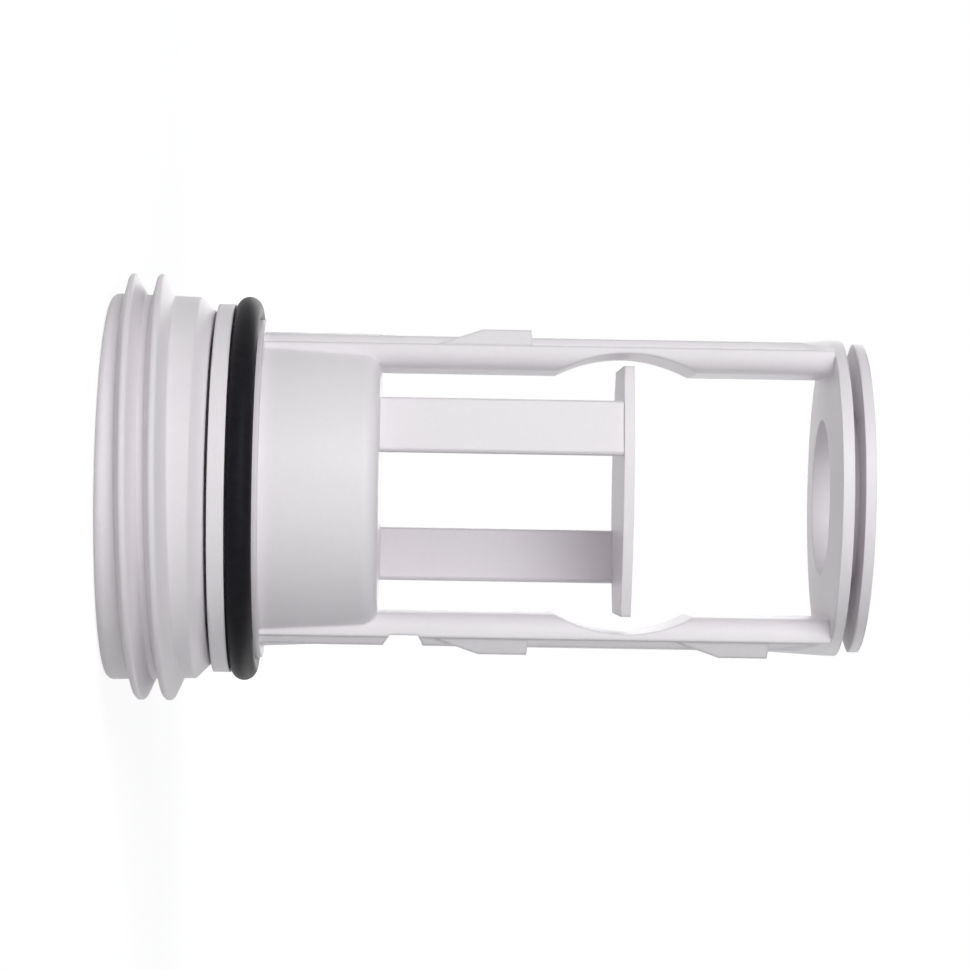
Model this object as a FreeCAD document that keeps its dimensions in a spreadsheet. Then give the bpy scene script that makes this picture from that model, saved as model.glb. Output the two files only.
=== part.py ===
"""Drain pump filter of a washing machine: a screw cap, a filter cage that swivels on it, and a rubber seal.

The filter stands on its cap. +Z runs along the filter's axis, with z = 0 on the cap's outer face.
The two long struts stand at -X and +X, and the windows between them open towards -Y and +Y.
"""
import FreeCAD, Part
import Sketcher
import math
import os
import re

# Driving dimensions in millimetres, angles in degrees
SIZES = {
    # Screw cap
    "cap_rad": 30.8,
    "cap_len": 16.5,
    "cap_edge": 1.2,
    "cap_draft": 0.35,
    "cap_chamfer": 2.3,
    "rim_wall": 3.6,
    "rim_land": 1.95,
    "recess_depth": 9.5,
    "recess_draft": 0.5,
    "cap_wall": 2.0,
    "grip_wide": 7.0,
    "grip_set": 0.6,
    "grip_round": 1.2,
    # Thread, one right-handed start with a steep outer flank
    "thread_high": 3.2,
    "thread_pitch": 4.48,
    "thread_turns": 1.95,
    "thread_turned": 100.0,
    "thread_from": 0.84,
    "thread_fore": 0.92,
    "thread_bevel": 0.3,
    "thread_land": 0.6,
    "thread_aft": 1.6,
    "thread_root": 0.6,
    # Swivel between cap and cage
    "swivel_gap": 0.55,
    "swivel_play": 0.3,
    "swivel_wall": 2.0,
    "bead_high": 0.8,
    "bead_long": 1.6,
    "bead_lead": 1.0,
    "bead_from": 1.9,
    # Seal and its groove
    "seal_thick": 4.0,
    "seal_fit": 0.03,
    "seal_side": 0.2,
    "seat_rad": 26.6,
    "seat_wall": 4.6,
    "flange_high": 2.8,
    "flange_len": 2.6,
    "lip_high": 0.35,
    "lip_len": 1.55,
    # Drum
    "drum_step": 1.85,
    "drum_taper": 0.9,
    "drum_len": 18.45,
    "drum_round": 2.7,
    "drum_wall": 2.0,
    "bore_draft": 0.8,
    # Struts
    "strut_half": 12.0,
    "strut_set": 2.15,
    "strut_deep": 3.75,
    "strut_crown": 1.5,
    "strut_round": 3.0,
    "rib_turn": 40.0,
    "rib_from": 4.0,
    "rib_ramp": 14.6,
    "flare_turn": 50.0,
    "flare_len": 13.0,
    "notch_past": 2.0,
    "notch_len": 4.4,
    "notch_sink": 0.25,
    "notch_rise": 1.0,
    "notch_lead": 1.7,
    "notch_trail": 1.3,
    # Lugs on the struts
    "lug_high": 2.6,
    "lug_half": 10.0,
    "lug_base": 11.85,
    "lug_flat": 7.6,
    "lug_ramp": 8.3,
    "lug_end": 0.3,
    "lug_first": 15.9,
    "lug_pitch": 37.9,
    # Leaning bars and baffle plate
    "bar_len": 38.1,
    "bar_step": 0.35,
    "bar_wall": 1.6,
    "bar_edge": 0.9,
    "bar_tilt": 14.0,
    "bar_near": 2.3,
    "bar_far": 10.2,
    "plate_set": 3.3,
    "plate_deep": 17.5,
    "plate_bow": 42.0,
    "plate_back": 18.5,
    "back_bow": 30.0,
    "plate_thick": 1.6,
    "plate_shift": 0.4,
    "plate_clear": 2.4,
    # End ring, neck and oval end plate
    "ring_gap": 31.0,
    "ring_set": 0.85,
    "ring_thick": 2.4,
    "ring_draft": 0.6,
    "ring_trim": 2.0,
    "hole_rad": 12.5,
    "neck_wall": 1.5,
    "neck_len": 2.2,
    "oval_half": 24.7,
    "oval_deep": 21.2,
    "oval_thick": 1.65,
}

# Places that follow from the driving dimensions
PLACES = {
    "recess_rad": "cap_rad - rim_wall",
    "rim_rad": "cap_rad - cap_draft - cap_chamfer",
    "web_top": "recess_depth + cap_wall",
    "crest_rad": "cap_rad + thread_high",
    "crest_from": "thread_from + thread_fore + thread_bevel",
    "crest_to": "crest_from + thread_land",
    "flange_z": "cap_len + swivel_gap",
    "seat_z": "flange_z + flange_len",
    "seal_rad": "seat_rad + seal_fit + seal_thick / 2",
    "seal_z": "seat_z + seal_side + seal_thick / 2",
    "seal_reach": "seal_thick / 2 + seal_fit",
    "flange_rad": "seat_rad + flange_high",
    "bore_rad": "seat_rad - seat_wall",
    "lip_rad": "seat_rad + lip_high",
    "lip_z": "seal_z + sqrt(seal_reach ^ 2 - (seal_reach - lip_high) ^ 2) + seal_fit",
    "drum_rad": "lip_rad - drum_step",
    "drum_z": "lip_z + lip_len",
    "drum_end": "drum_z + drum_len",
    "bore_end": "drum_end - drum_wall",
    "swivel_rad": "bore_rad - swivel_play",
    "bead_rad": "swivel_rad + bead_high",
    "bead_z": "flange_z + bead_from",
    "bead_top": "bead_z + bead_long",
    "snap_rad": "bead_rad + swivel_play",
    "strut_corner": "drum_rad - strut_set",
    "strut_inner": "strut_corner - strut_deep",
    "strut_top": "strut_corner + strut_crown",
    "crown_bend": "(strut_half ^ 2 + strut_crown ^ 2) / (2 * strut_crown)",
    "plate_z": "drum_end + bar_len",
    "plate_mid": "plate_z + plate_thick / 2",
    "plate_half": "strut_corner - plate_set",
    "front_side": "plate_deep - plate_bow + sqrt(plate_bow ^ 2 - plate_half ^ 2)",
    "back_side": "plate_back - back_bow + sqrt(back_bow ^ 2 - plate_half ^ 2)",
    "bar_out": "plate_deep + bar_step",
    "ring_z": "plate_z + plate_thick + ring_gap",
    "ring_top": "ring_z + ring_thick",
    "ring_rad": "strut_top + ring_set",
    "neck_rad": "hole_rad + neck_wall",
    "oval_z": "ring_top + neck_len",
    "oval_bow": "(oval_half ^ 2 + oval_deep ^ 2) / (2 * oval_deep)",
}

doc = FreeCAD.newDocument("pump_filter")
sheet = doc.addObject("Spreadsheet::Sheet", "Sizes")
for row, (alias, value) in enumerate(SIZES.items(), start=1):
    sheet.set(f"A{row}", alias)
    sheet.set(f"B{row}", str(value))
    sheet.setAlias(f"B{row}", alias)
doc.recompute()


def bound(text):
    """An expression in size names, written out with the sheet's cells."""
    def cell(match):
        name = match.group(0)
        if name in PLACES:
            return f"({bound(PLACES[name])})"
        return f"Sizes.{name}" if name in SIZES else name
    return re.sub(r"[a-z][a-z_]*", cell, text)


def bind(item, **properties):
    """Tie properties of an object to the sheet; a double underscore stands for a dot."""
    for name, text in properties.items():
        item.setExpression(name.replace("__", "."), bound(text))


def new_body(label):
    body = doc.addObject("PartDesign::Body", label)
    body.Label = label
    body.AllowCompound = True
    return body


def sketch_on(body, name, role, height="0"):
    """An empty sketch on one of the body's origin planes, moved along that plane's normal."""
    sketch = body.newObject("Sketcher::SketchObject", name)
    plane = next(item for item in body.Origin.OriginFeatures if item.Role == role)
    sketch.AttachmentSupport = [(plane, "")]
    sketch.MapMode = "FlatFace"
    bind(sketch, AttachmentOffset__Base__z=height)
    return sketch


def hold(sketch, kind, value, *where):
    """Add one dimension to a sketch and tie it to the sheet."""
    amount = float(sketch.evalExpression(bound(value)))
    index = sketch.addConstraint(Sketcher.Constraint(kind, *where, amount))
    sketch.setExpression(f"Constraints[{index}]", bound(value))


def hold_point(sketch, geometry, end, across, along):
    """Place a point by its two distances from the sketch's origin."""
    for kind, value, axis in (("DistanceX", across, -2), ("DistanceY", along, -1)):
        if value == "0":
            sketch.addConstraint(Sketcher.Constraint("PointOnObject", geometry, end, axis))
        else:
            hold(sketch, kind, value, -1, 1, geometry, end)


def arc_between(start, finish, radius, turn):
    """The shorter arc from start to finish, counterclockwise for a turn of 1 and clockwise for -1."""
    chord = finish - start
    left = FreeCAD.Vector(-chord.y, chord.x, 0).normalize()
    rise = math.sqrt(max(radius ** 2 - (chord.Length / 2) ** 2, 0))
    centre = (start + finish) / 2 + left * rise * turn
    circle = Part.Circle(centre, FreeCAD.Vector(0, 0, 1), radius)
    first, last = (start, finish) if turn == 1 else (finish, start)
    angles = [math.atan2(point.y - centre.y, point.x - centre.x) for point in (first, last)]
    return Part.ArcOfCircle(circle, *angles)


def outline(sketch, corners):
    """Draw one closed loop. A corner is (x, y), or (x, y, radius, turn) where an arc leaves it."""
    spots = []
    for corner in corners:
        across, along = (float(sketch.evalExpression(bound(text))) for text in corner[:2])
        spots.append(FreeCAD.Vector(across, along, 0))
    sides = []
    for number, corner in enumerate(corners):
        start, finish = spots[number], spots[(number + 1) % len(spots)]
        if len(corner) == 2:
            sides.append((sketch.addGeometry(Part.LineSegment(start, finish)), 1, 2))
            continue
        radius, turn = corner[2:]
        length = float(sketch.evalExpression(bound(radius)))
        arc = sketch.addGeometry(arc_between(start, finish, length, turn))
        sides.append((arc, 1, 2) if turn == 1 else (arc, 2, 1))
    for number, (geometry, start_end, finish_end) in enumerate(sides):
        following, following_end, _ = sides[(number + 1) % len(sides)]
        joint = Sketcher.Constraint("Coincident", geometry, finish_end, following, following_end)
        sketch.addConstraint(joint)
    for (geometry, start_end, _), corner in zip(sides, corners):
        hold_point(sketch, geometry, start_end, corner[0], corner[1])
        if len(corner) > 2:
            hold(sketch, "Radius", corner[2], geometry)


def disc(sketch, radius, across, along):
    """Draw a circle about a placed centre."""
    amount = float(sketch.evalExpression(bound(radius)))
    circle = Part.Circle(FreeCAD.Vector(), FreeCAD.Vector(0, 0, 1), amount)
    geometry = sketch.addGeometry(circle)
    hold_point(sketch, geometry, 3, across, along)
    hold(sketch, "Radius", radius, geometry)


def turned(body, kind, sketch, angle="360"):
    """Revolve a sketch of the XZ plane about the filter's axis, half the angle to each side."""
    feature = body.newObject(f"PartDesign::{kind}", f"{sketch.Name}_turned")
    feature.Profile = sketch
    feature.ReferenceAxis = (sketch, ["V_Axis"])
    feature.Midplane = True
    bind(feature, Angle=angle)
    return feature


def pad(body, sketch, length, both_ways=False):
    feature = body.newObject("PartDesign::Pad", f"{sketch.Name}_pad")
    feature.Profile = sketch
    feature.SideType = "Symmetric" if both_ways else "One side"
    bind(feature, Length=length)
    return feature


def cut_through(body, sketch):
    """Cut a sketch right through the body, both ways from the sketch's plane."""
    feature = body.newObject("PartDesign::Pocket", f"{sketch.Name}_cut")
    feature.Profile = sketch
    feature.Type = "ThroughAll"
    feature.SideType = "Symmetric"
    return feature


def make_cap():
    """Screw cap: rim, finger recess with a grip bar, coarse thread, and a swivel ring with a snap bead."""
    cap = new_body("threaded_cap")
    shell = sketch_on(cap, "cap_shell", "XZ_Plane")
    outline(shell, [
        ("0", "recess_depth"),
        ("recess_rad - recess_draft", "recess_depth"),
        ("recess_rad", "0"),
        ("cap_rad - cap_edge", "0", "cap_edge", 1),
        ("cap_rad", "cap_edge"),
        ("cap_rad - cap_draft", "cap_len - cap_chamfer"),
        ("rim_rad", "cap_len"),
        ("rim_rad - rim_land", "cap_len"),
        ("rim_rad - rim_land", "web_top"),
        ("swivel_rad", "web_top"),
        ("swivel_rad", "bead_z"),
        ("bead_rad", "bead_z"),
        ("bead_rad", "bead_top"),
        ("swivel_rad", "bead_top + bead_lead"),
        ("swivel_rad - swivel_wall", "bead_top + bead_lead"),
        ("swivel_rad - swivel_wall", "web_top"),
        ("0", "web_top"),
    ])
    turned(cap, "Revolution", shell)

    grip = sketch_on(cap, "grip_bar", "YZ_Plane")
    outline(grip, [
        ("-grip_wide / 2", "recess_depth + cap_wall / 2"),
        ("-grip_wide / 2", "grip_set + grip_round", "grip_round", 1),
        ("-grip_wide / 2 + grip_round", "grip_set"),
        ("grip_wide / 2 - grip_round", "grip_set", "grip_round", 1),
        ("grip_wide / 2", "grip_set + grip_round"),
        ("grip_wide / 2", "recess_depth + cap_wall / 2"),
    ])
    pad(cap, grip, "2 * recess_rad + rim_wall / 2", both_ways=True)

    ridge = sketch_on(cap, "thread_ridge", "XZ_Plane")
    ridge.AttachmentOffset = FreeCAD.Placement(
        FreeCAD.Vector(), FreeCAD.Rotation(FreeCAD.Vector(0, 1, 0), SIZES["thread_turned"]))
    bind(ridge, AttachmentOffset__Rotation__Angle="thread_turned")
    outline(ridge, [
        ("cap_rad - thread_root", "thread_from"),
        ("crest_rad - thread_bevel", "thread_from + thread_fore"),
        ("crest_rad", "crest_from"),
        ("crest_rad", "crest_to"),
        ("crest_rad - thread_bevel", "crest_to + thread_bevel"),
        ("cap_rad - thread_root", "crest_to + thread_bevel + thread_aft"),
    ])
    thread = cap.newObject("PartDesign::AdditiveHelix", "thread")
    thread.Profile = ridge
    thread.ReferenceAxis = (ridge, ["V_Axis"])
    thread.Mode = "pitch-turns-angle"
    bind(thread, Pitch="thread_pitch", Turns="thread_turns")
    return cap


def add_lug(cage, name, side, start):
    """Ramped lug on a strut: side is the strut's sign along X, start the lower end of the lug's flat top."""
    end = f"{start} + lug_flat"
    levels = {
        "foot": ("strut_corner - lug_end", "lug_base", f"{start} - lug_ramp", f"{end} + lug_end"),
        "top": ("strut_corner + lug_high", "lug_half", start, end),
    }
    sections = []
    for level, (reach, half, low, high) in levels.items():
        section = sketch_on(cage, f"{name}_{level}", "YZ_Plane", f"{side} * ({reach})")
        outline(section, [(f"-{half}", low), (half, low), (half, high), (f"-{half}", high)])
        sections.append(section)
    lug = cage.newObject("PartDesign::AdditiveLoft", name)
    lug.Profile = sections[0]
    lug.Sections = sections[1:]
    lug.Ruled = True


def add_struts(cage):
    """Two long struts with rounded inner sides, cut by one round clearance about the baffle plate."""
    section = sketch_on(cage, "strut_section", "XY_Plane", "lip_z + lip_len / 2")
    for side in ("", "-"):
        turn = 1 if side == "" else -1
        inner = f"{side}strut_inner"
        shoulder = f"{side}(strut_inner + strut_round)"
        corner = f"{side}strut_corner"
        outline(section, [
            (inner, "strut_half - strut_round"),
            (inner, "strut_round - strut_half", "strut_round", turn),
            (shoulder, "-strut_half"),
            (corner, "-strut_half", "crown_bend", turn),
            (corner, "strut_half"),
            (shoulder, "strut_half", "strut_round", turn),
        ])
    pad(cage, section, "ring_z + ring_thick / 2 - lip_z - lip_len / 2")

    clearance = sketch_on(cage, "plate_clearance", "XZ_Plane")
    disc(clearance, "plate_half + plate_clear", "0", "plate_mid")
    cut_through(cage, clearance)

    notch = sketch_on(cage, "strut_notch", "XZ_Plane")
    outline(notch, [
        ("strut_corner - notch_sink", "drum_end + notch_past"),
        ("strut_top + notch_rise", "drum_end + notch_past - notch_lead"),
        ("strut_top + notch_rise", "drum_end + notch_past + notch_len + notch_trail"),
        ("strut_corner - notch_sink", "drum_end + notch_past + notch_len"),
    ])
    cut_through(cage, notch)

    rib = sketch_on(cage, "strut_rib", "XZ_Plane")
    outline(rib, [
        ("-strut_corner", "lip_z + lip_len / 2"),
        ("-drum_rad", "lip_z + lip_len / 2"),
        ("-drum_rad", "drum_end - rib_from"),
        ("-strut_top", "drum_end - rib_from + rib_ramp"),
        ("-strut_corner", "drum_end - rib_from + rib_ramp"),
    ])
    turned(cage, "Revolution", rib, "rib_turn")

    for side, name in (("", "right_flare"), ("-", "left_flare")):
        flare = sketch_on(cage, name, "XZ_Plane")
        outline(flare, [
            (f"{side}strut_corner", "ring_z - flare_len"),
            (f"{side}strut_top", "ring_z - flare_len"),
            (f"{side}ring_rad", "ring_z + ring_draft"),
            (f"{side}strut_corner", "ring_z + ring_draft"),
        ])
        turned(cage, "Revolution", flare, "flare_turn")

    add_lug(cage, "single_lug", -1, "drum_end + lug_first")
    add_lug(cage, "near_lug", 1, "drum_end + lug_first")
    add_lug(cage, "far_lug", 1, "drum_end + lug_first + lug_pitch")


def add_end_ring(cage):
    """End ring with a coned inner face, neck and oval end plate about one through hole."""
    ends = sketch_on(cage, "end_ring", "XZ_Plane")
    outline(ends, [
        ("hole_rad", "ring_z"),
        ("ring_rad", "ring_z + ring_draft"),
        ("ring_rad", "ring_top"),
        ("neck_rad", "ring_top"),
        ("neck_rad", "oval_z + oval_thick / 2"),
        ("hole_rad", "oval_z + oval_thick / 2"),
    ])
    turned(cage, "Revolution", ends)
    oval = sketch_on(cage, "oval_plate", "XY_Plane", "oval_z")
    outline(oval, [("-oval_half", "0", "oval_bow", 1), ("oval_half", "0", "oval_bow", 1)])
    disc(oval, "hole_rad", "0", "0")
    pad(cage, oval, "oval_thick")


def make_cage():
    """Filter cage: seal seat and drum, struts with lugs, leaning bars, baffle plate and end ring."""
    cage = new_body("filter_cage")
    outside = sketch_on(cage, "drum_outside", "XZ_Plane")
    drum_tip = "drum_rad - drum_taper"
    outline(outside, [
        ("0", "flange_z"),
        ("flange_rad", "flange_z"),
        ("flange_rad", "seat_z"),
        ("seat_rad", "seat_z"),
        ("seat_rad", "lip_z"),
        ("lip_rad", "lip_z"),
        ("lip_rad", "drum_z"),
        ("drum_rad", "drum_z"),
        (drum_tip, "drum_end - drum_round", "drum_round", 1),
        (f"{drum_tip} - drum_round", "drum_end"),
        ("0", "drum_end"),
    ])
    turned(cage, "Revolution", outside)
    add_end_ring(cage)
    add_struts(cage)

    trim = sketch_on(cage, "ring_trim_ring", "XZ_Plane")
    outline(trim, [
        ("ring_rad", "ring_z + ring_draft"),
        ("ring_rad + ring_trim", "ring_z + ring_draft"),
        ("ring_rad + ring_trim", "ring_top"),
        ("ring_rad", "ring_top"),
    ])
    turned(cage, "Groove", trim)

    bore = sketch_on(cage, "drum_bore", "XZ_Plane")
    outline(bore, [
        ("0", "flange_z"),
        ("bore_rad", "flange_z"),
        ("bore_rad", "bead_z - swivel_play"),
        ("snap_rad", "bead_z - swivel_play"),
        ("snap_rad", "bead_top + swivel_play"),
        ("bore_rad", "bead_top + bead_lead + swivel_play"),
        ("bore_rad - bore_draft", "bore_end"),
        ("0", "bore_end"),
    ])
    turned(cage, "Groove", bore)

    bars = sketch_on(cage, "leaning_bars", "XY_Plane", "drum_end - drum_wall / 2")
    bars.AttachmentOffset = FreeCAD.Placement(
        FreeCAD.Vector(), FreeCAD.Rotation(FreeCAD.Vector(0, 0, -1), SIZES["bar_tilt"]))
    bind(bars, AttachmentOffset__Rotation__Angle="bar_tilt")
    for side in ("-", ""):
        outline(bars, [
            (f"{side}bar_far", f"{side}bar_out"),
            (f"{side}bar_near", f"{side}bar_out", "bar_edge", 1),
            (f"{side}bar_near", f"{side}(bar_out - bar_wall)"),
            (f"{side}bar_far", f"{side}(bar_out - bar_wall)", "bar_edge", 1),
        ])
    pad(cage, bars, "drum_wall / 2 + bar_len + plate_thick / 2")

    plate = sketch_on(cage, "baffle_plate", "XY_Plane", "plate_z")
    outline(plate, [
        ("-plate_half - plate_shift", "-front_side", "plate_bow", 1),
        ("plate_half - plate_shift", "-front_side"),
        ("plate_half - plate_shift", "back_side", "back_bow", 1),
        ("-plate_half - plate_shift", "back_side"),
    ])
    pad(cage, plate, "plate_thick")
    return cage


def make_seal():
    """Rubber ring that lies in the cage's groove."""
    seal = doc.addObject("Part::Torus", "seal_ring")
    seal.Label = "seal_ring"
    bind(seal, Radius1="seal_rad", Radius2="seal_thick / 2", Placement__Base__z="seal_z")
    return seal


nodes = [make_cap(), make_cage(), make_seal()]
doc.recompute()

for item in doc.Objects:
    if "Invalid" in item.State or "Error" in item.State:
        raise RuntimeError(f"{item.Label} did not compute: {item.State}")
for node in nodes:
    if node.Shape.isNull() or not node.Shape.isValid():
        raise RuntimeError(f"{node.Label} has no valid shape")

os.makedirs("parts", exist_ok=True)
for node in nodes:
    node.Shape.exportStep(f"parts/{node.Label}.step")
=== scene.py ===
import math

import bmesh
import bpy
from mathutils import Matrix, Vector


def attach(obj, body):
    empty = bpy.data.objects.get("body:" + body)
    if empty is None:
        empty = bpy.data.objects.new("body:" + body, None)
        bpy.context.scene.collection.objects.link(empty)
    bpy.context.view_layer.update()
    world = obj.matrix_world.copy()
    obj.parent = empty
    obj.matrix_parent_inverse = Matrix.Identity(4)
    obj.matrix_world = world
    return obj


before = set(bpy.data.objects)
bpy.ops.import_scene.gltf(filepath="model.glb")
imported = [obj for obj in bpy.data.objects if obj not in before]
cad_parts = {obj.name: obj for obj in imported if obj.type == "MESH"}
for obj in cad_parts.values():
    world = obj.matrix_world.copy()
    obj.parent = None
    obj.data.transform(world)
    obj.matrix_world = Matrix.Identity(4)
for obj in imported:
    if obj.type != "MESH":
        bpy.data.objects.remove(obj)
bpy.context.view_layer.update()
scene = bpy.context.scene
scene.view_settings.view_transform = "Standard"

MM_PER_M = 1000.0
WHITE = (1.0, 1.0, 1.0)

# Sockets of a Mix node: its factor and two colours, and its resulting colour
MIX_COLOUR_INPUTS = (0, 6, 7)
MIX_COLOUR_OUTPUT = 2

# Camera, in m with the lens and sensor in mm: nearly square to the filter's axis, with the cap on the left
VIEW_CENTRE = Vector((-0.00117, 0.0, 0.0598))
VIEW_DISTANCE = 0.557
VIEW_LENS = 129.0
SENSOR_WIDTH = 36.0
NEAR_CLIP = 0.01
AXIS_TILT = math.radians(0.95)
AXIS_YAW = math.radians(1.0)
AXIS_ROLL = math.radians(0.6)

# Light: the world's strength and tint, and each lamp's place and width in m and its watts
WORLD_LEVEL = 0.13
WORLD_TINT = (0.9, 0.95, 1.0)
LAMP_AIM = Vector((0.0, 0.0, 0.06))
LAMPS = {
    "front_softbox": ((-0.47, -0.93, 0.42), 0.7, 6.4),
    "low_fill": ((0.26, -1.02, 0.34), 0.8, 2.7),
    "back_softbox": ((-0.25, 1.00, 0.34), 0.8, 3.2),
    "side_softbox": ((0.74, 0.72, 0.36), 0.7, 1.7),
}

# Floor, in m: its glow rises with the distance from the part, so that the shadow stays near the part
FLOOR_REACH = 4.0
FLOOR_HEIGHT = -0.0002
FLOOR_PLAIN = (0.8, 0.8, 0.8)
FLOOR_SHADED = (0.34, 0.34, 0.34)
GLOW_NEAR = 0.15
GLOW_FAR = 0.7
GLOW_LOW = 0.84
GLOW_FULL = 1.0

# A noise is its scale per mm, detail and roughness, a span is where a ramp starts and ends on it, and a
# bump is its strength and its distance in m

# White plastic: its two tones, the darkest grain, its gloss and its index of refraction
PALE = (0.866, 0.832, 0.862)
DULL = (0.841, 0.808, 0.837)
GRAIN_DARK = (0.965, 0.965, 0.965)
PLASTIC_ROUGHNESS = (0.36, 0.5)
PLASTIC_SPECULAR = 0.42
PLASTIC_IOR = 1.49
CLOUD_NOISE = (0.05, 4.0, 0.5)
CLOUD_SPAN = (0.3, 0.7)
GRAIN_NOISE = (1.6, 3.0, 0.6)
GRAIN_SPAN = (0.2, 0.8)
WAVE_NOISE = (0.11, 1.0, 0.5)
WAVE_BUMP = (0.12, 0.0004)
SKIN_NOISE = (5.5, 2.0, 0.55)
SKIN_BUMP = (0.10, 0.00004)

# Softened edges of the plastic, as radii in m, which change between these distances from the axis in mm
EDGE_CHANGE = (18.0, 19.5)
CAP_EDGE = 0.0005
CAGE_INNER_EDGE = 0.00025
CAGE_OUTER_EDGE = 0.0008
EDGE_SAMPLES = 6

# Black rubber: its two tones, gloss and index of refraction
RUBBER_DARK = (0.010, 0.0096, 0.0122)
RUBBER_BLOOM = (0.017, 0.0162, 0.020)
RUBBER_ROUGHNESS = (0.36, 0.48)
RUBBER_SPECULAR = 0.04
RUBBER_IOR = 1.52
BLOOM_NOISE = (0.5, 4.0, 0.6)
BLOOM_SPAN = (0.25, 0.75)
RUBBER_SKIN_NOISE = (6.0, 3.0, 0.6)
RUBBER_SKIN_BUMP = (0.25, 0.00005)

# Outer rail of a strut, in mm: the stepped edge of its section as (half width, distance from the axis)
RAIL_EDGE = [(11.3, 22.6), (11.3, 23.22), (10.72, 24.06), (10.3, 24.3), (8.0, 24.45)]
RAIL_INNER_WIDTHS = (6.0, 4.0, 2.0, 0.0)
RAIL_LOW = 23.0
RAIL_HIGH = 24.5
RAIL_FALL = 0.006
RAIL_SHARP = math.radians(20)
RING_REACH = 25.28

# Places along the rails, in mm from the cap's outer face, and the crests of the drum under them
RAIL_START = 23.9
UPPER_DRUM_CREST = 25.12
LOWER_DRUM_CREST = 25.15


def add_camera():
    """The photograph's view: tilt, yaw and roll turn the filter's axis in it."""
    data = bpy.data.cameras.new("camera")
    data.lens = VIEW_LENS
    data.sensor_width = SENSOR_WIDTH
    data.clip_start = NEAR_CLIP
    camera = bpy.data.objects.new("camera", data)
    scene.collection.objects.link(camera)
    outward = Vector((math.sin(AXIS_ROLL), -math.cos(AXIS_ROLL), 0))
    upward = Vector((-math.cos(AXIS_ROLL), -math.sin(AXIS_ROLL), 0))
    across = outward * math.sin(AXIS_YAW) + Vector((0, 0, math.cos(AXIS_YAW)))
    right = across * math.cos(AXIS_TILT) + upward * math.sin(AXIS_TILT)
    up = upward * math.cos(AXIS_TILT) - across * math.sin(AXIS_TILT)
    back = right.cross(up)
    turn = Matrix((right, up, back)).transposed().to_4x4()
    camera.matrix_world = Matrix.Translation(VIEW_CENTRE + back * VIEW_DISTANCE) @ turn
    scene.camera = camera


def add_lamp(name, place, width, watts):
    """A round softbox that looks at the part's middle."""
    data = bpy.data.lights.new(name, "AREA")
    data.shape = "DISK"
    data.size = width
    data.energy = watts
    lamp = bpy.data.objects.new(name, data)
    scene.collection.objects.link(lamp)
    lamp.location = place
    lamp.rotation_euler = (LAMP_AIM - Vector(place)).to_track_quat("-Z", "Y").to_euler()


def opaque(colour):
    return (*colour, 1.0)


class Nodes:
    """The node tree of a material or world, with short calls to add nodes and join them."""

    def __init__(self, tree):
        tree.nodes.clear()
        self.tree = tree

    def add(self, kind, settings=None, **inputs):
        """A node with its settings; an input's name has _ for each space."""
        node = self.tree.nodes.new(kind)
        for name, value in (settings or {}).items():
            setattr(node, name, value)
        for name, value in inputs.items():
            self.put(node.inputs[name.replace("_", " ")], value)
        return node

    def put(self, socket, value):
        """Links a socket to another node's output, or sets its value."""
        if isinstance(value, bpy.types.NodeSocket):
            self.tree.links.new(value, socket)
        else:
            socket.default_value = value

    def noise(self, place, scale, detail, rough):
        found = self.add("ShaderNodeTexNoise", Vector=place, Scale=scale, Detail=detail, Roughness=rough)
        return found.outputs["Fac"]

    def ramp(self, value, span, first, last):
        """A colour ramp from the first colour to the last over a span of the value."""
        node = self.add("ShaderNodeValToRGB", Fac=value)
        for element, spot, colour in zip(node.color_ramp.elements, span, (first, last)):
            element.position = spot
            element.color = opaque(colour)
        return node.outputs["Color"]

    def bump(self, height, strength, distance, **normal):
        found = self.add("ShaderNodeBump", Strength=strength, Distance=distance, Height=height, **normal)
        return found.outputs["Normal"]

    def to_range(self, value, new, old=(0.0, 1.0)):
        """Maps the range old to the range new, held at both ends."""
        node = self.add(
            "ShaderNodeMapRange", Value=value,
            From_Min=old[0], From_Max=old[1], To_Min=new[0], To_Max=new[1])
        return node.outputs["Result"]

    def maths(self, operation, *values):
        node = self.add("ShaderNodeMath", {"operation": operation})
        for socket, value in zip(node.inputs, values):
            self.put(socket, value)
        return node.outputs[0]

    def multiply(self, first, second):
        """The product of two colours."""
        node = self.add("ShaderNodeMix", {"data_type": "RGBA", "blend_type": "MULTIPLY"})
        for spot, value in zip(MIX_COLOUR_INPUTS, (1.0, first, second)):
            self.put(node.inputs[spot], value)
        return node.outputs[MIX_COLOUR_OUTPUT]

    def join(self, kind, *parts):
        """A Mix Shader of a share and two shaders, or an Add Shader of two."""
        node = self.add(kind)
        for socket, part in zip(node.inputs, parts):
            self.put(socket, part)
        return node.outputs[0]

    def place_mm(self):
        """The object's own coordinates in millimetres."""
        place = self.add("ShaderNodeTexCoord").outputs["Object"]
        scaled = self.add("ShaderNodeVectorMath", {"operation": "SCALE"}, Vector=place, Scale=MM_PER_M)
        return scaled.outputs["Vector"]

    def seen(self):
        """1 for rays that show a surface to the camera: straight, in gloss or through glass."""
        path = self.add("ShaderNodeLightPath").outputs
        straight_or_gloss = self.maths("MAXIMUM", path["Is Camera Ray"], path["Is Glossy Ray"])
        return self.maths("MAXIMUM", straight_or_gloss, path["Is Transmission Ray"])


def new_material(name):
    material = bpy.data.materials.new(name)
    material.use_nodes = True
    return material, Nodes(material.node_tree)


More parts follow.
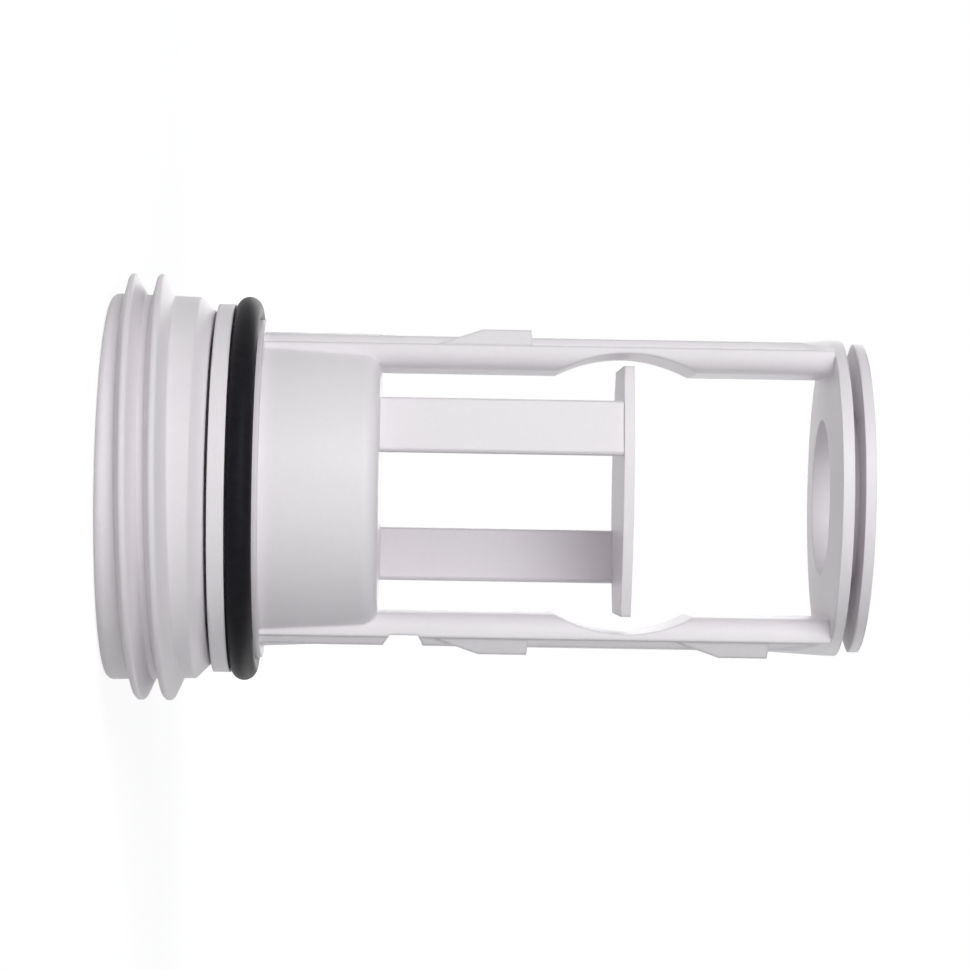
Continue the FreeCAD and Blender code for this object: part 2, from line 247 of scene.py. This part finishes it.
def white_plastic(name, inner_edge, outer_edge):
    """Satin moulded plastic: cloudy colour, uneven gloss, fine skin and softened edges."""
    material, nodes = new_material(name)
    place = nodes.place_mm()
    clouds = nodes.noise(place, *CLOUD_NOISE)
    grain = nodes.noise(place, *GRAIN_NOISE)
    skin = nodes.noise(place, *SKIN_NOISE)
    waves = nodes.noise(place, *WAVE_NOISE)
    colour = nodes.ramp(clouds, CLOUD_SPAN, DULL, PALE)
    shade = nodes.ramp(grain, GRAIN_SPAN, GRAIN_DARK, WHITE)
    from_axis = nodes.maths("ABSOLUTE", nodes.add("ShaderNodeSeparateXYZ", Vector=place).outputs["X"])
    edge = nodes.to_range(from_axis, (inner_edge, outer_edge), EDGE_CHANGE)
    soft = nodes.add("ShaderNodeBevel", {"samples": EDGE_SAMPLES}, Radius=edge).outputs["Normal"]
    broad = nodes.bump(waves, *WAVE_BUMP, Normal=soft)
    shader = nodes.add(
        "ShaderNodeBsdfPrincipled", IOR=PLASTIC_IOR, Specular_IOR_Level=PLASTIC_SPECULAR,
        Base_Color=nodes.multiply(colour, shade), Roughness=nodes.to_range(grain, PLASTIC_ROUGHNESS),
        Normal=nodes.bump(skin, *SKIN_BUMP, Normal=broad))
    nodes.add("ShaderNodeOutputMaterial", Surface=shader.outputs["BSDF"])
    return material


def black_rubber(name):
    """Matt black rubber with a fine bloom and a slightly uneven skin."""
    material, nodes = new_material(name)
    place = nodes.place_mm()
    bloom = nodes.noise(place, *BLOOM_NOISE)
    skin = nodes.noise(place, *RUBBER_SKIN_NOISE)
    shader = nodes.add(
        "ShaderNodeBsdfPrincipled", IOR=RUBBER_IOR, Specular_IOR_Level=RUBBER_SPECULAR,
        Base_Color=nodes.ramp(bloom, BLOOM_SPAN, RUBBER_DARK, RUBBER_BLOOM),
        Roughness=nodes.to_range(bloom, RUBBER_ROUGHNESS), Normal=nodes.bump(skin, *RUBBER_SKIN_BUMP))
    nodes.add("ShaderNodeOutputMaterial", Surface=shader.outputs["BSDF"])
    return material


def dress(node, material):
    """Gives a CAD node its material and slot."""
    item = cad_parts[node]
    item.data.materials.clear()
    item.data.materials.append(material)


def rail_section(crest, inside_ring):
    """Section of a rail whose middle is round with the radius crest where that stands above the rail."""
    half = list(RAIL_EDGE)
    for width in RAIL_INNER_WIDTHS:
        half.append((width, max(RAIL_HIGH - RAIL_FALL * width, math.sqrt(crest ** 2 - width ** 2))))
    if inside_ring:
        half = [(width, min(reach, math.sqrt(RING_REACH ** 2 - width ** 2))) for width, reach in half]
    return half + [(-width, reach) for width, reach in reversed(half[:-1])]


def station(foot, crest, top=None, inside_ring=False):
    """A place along a rail: z at its foot and top, the crest, and whether it lies inside the end ring."""
    return foot, foot if top is None else top, crest, inside_ring


def add_rail(name, side, stations, material):
    """A stepped rail along the strut on that side of the axis, through its stations."""
    work = bmesh.new()
    loops = []
    for foot, top, crest, inside_ring in stations:
        loop = []
        for width, reach in rail_section(crest, inside_ring):
            z = foot + (top - foot) * (reach - RAIL_LOW) / (RAIL_HIGH - RAIL_LOW)
            loop.append(work.verts.new((side * reach / MM_PER_M, width / MM_PER_M, z / MM_PER_M)))
        loops.append(loop)
    count = len(loops[0])
    for first, second in zip(loops, loops[1:]):
        for i in range(count):
            j = (i + 1) % count
            work.faces.new((first[i], first[j], second[j], second[i]))
    work.faces.new(loops[0])
    work.faces.new(loops[-1])
    bmesh.ops.recalc_face_normals(work, faces=work.faces)
    for face in work.faces:
        face.smooth = True
    for edge in work.edges:
        edge.smooth = edge.calc_face_angle() < RAIL_SHARP
    mesh = bpy.data.meshes.new(name)
    work.to_mesh(mesh)
    work.free()
    mesh.materials.append(material)
    rail = bpy.data.objects.new(name, mesh)
    scene.collection.objects.link(rail)
    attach(rail, "cage")


def add_floor():
    """A wide floor that shows white and keeps a faint shadow."""
    mesh = bpy.data.meshes.new("floor")
    corners = [(-1, -1), (1, -1), (1, 1), (-1, 1)]
    mesh.from_pydata(
        [(x * FLOOR_REACH, y * FLOOR_REACH, FLOOR_HEIGHT) for x, y in corners], [], [(0, 1, 2, 3)])
    floor = bpy.data.objects.new("floor", mesh)
    scene.collection.objects.link(floor)
    material, nodes = new_material("floor_white")
    plain, shaded = (
        nodes.add("ShaderNodeBsdfDiffuse", Color=opaque(colour)).outputs[0]
        for colour in (FLOOR_PLAIN, FLOOR_SHADED))
    spot = nodes.add("ShaderNodeTexCoord").outputs["Object"]
    away = nodes.add("ShaderNodeVectorMath", {"operation": "LENGTH"}, Vector=spot).outputs["Value"]
    level = nodes.to_range(away, (GLOW_LOW, GLOW_FULL), (GLOW_NEAR, GLOW_FAR))
    glow = nodes.add("ShaderNodeEmission", Color=opaque(WHITE), Strength=level).outputs[0]
    faint = nodes.join("ShaderNodeAddShader", shaded, glow)
    surface = nodes.join("ShaderNodeMixShader", nodes.seen(), plain, faint)
    nodes.add("ShaderNodeOutputMaterial", Surface=surface)
    mesh.materials.append(material)


def light_world():
    """Even light all round, which the camera and glossy surfaces see as white."""
    world = bpy.data.worlds.new("studio")
    scene.world = world
    world.use_nodes = True
    nodes = Nodes(world.node_tree)
    around, white = (
        nodes.add("ShaderNodeBackground", Color=opaque(colour), Strength=level).outputs[0]
        for colour, level in ((WORLD_TINT, WORLD_LEVEL), (WHITE, 1.0)))
    surface = nodes.join("ShaderNodeMixShader", nodes.seen(), around, white)
    nodes.add("ShaderNodeOutputWorld", Surface=surface)


add_camera()
light_world()
add_floor()
for name, (place, width, watts) in LAMPS.items():
    add_lamp(name, place, width, watts)

cage_white = white_plastic("cage_white", CAGE_INNER_EDGE, CAGE_OUTER_EDGE)
dress("threaded_cap", white_plastic("cap_white", CAP_EDGE, CAP_EDGE))
dress("filter_cage", cage_white)
dress("seal_ring", black_rubber("seal_black"))

RAIL_FAR_END = [
    station(100.72, RAIL_HIGH),
    station(109.0, 25.0),
    station(114.2, RING_REACH, inside_ring=True),
]
RAILS = {
    "upper_rail": (-1, [
        station(RAIL_START, UPPER_DRUM_CREST),
        station(39.02, UPPER_DRUM_CREST),
        station(53.62, RAIL_HIGH),
    ] + RAIL_FAR_END),
    "lower_rail_drum": (1, [
        station(RAIL_START, LOWER_DRUM_CREST),
        station(36.0, RAIL_HIGH),
        station(44.8, RAIL_HIGH, top=43.86),
    ]),
    "lower_rail": (1, [station(49.62, RAIL_HIGH, top=50.32)] + RAIL_FAR_END),
}
for name, (side, stations) in RAILS.items():
    add_rail(name, side, stations, cage_white)
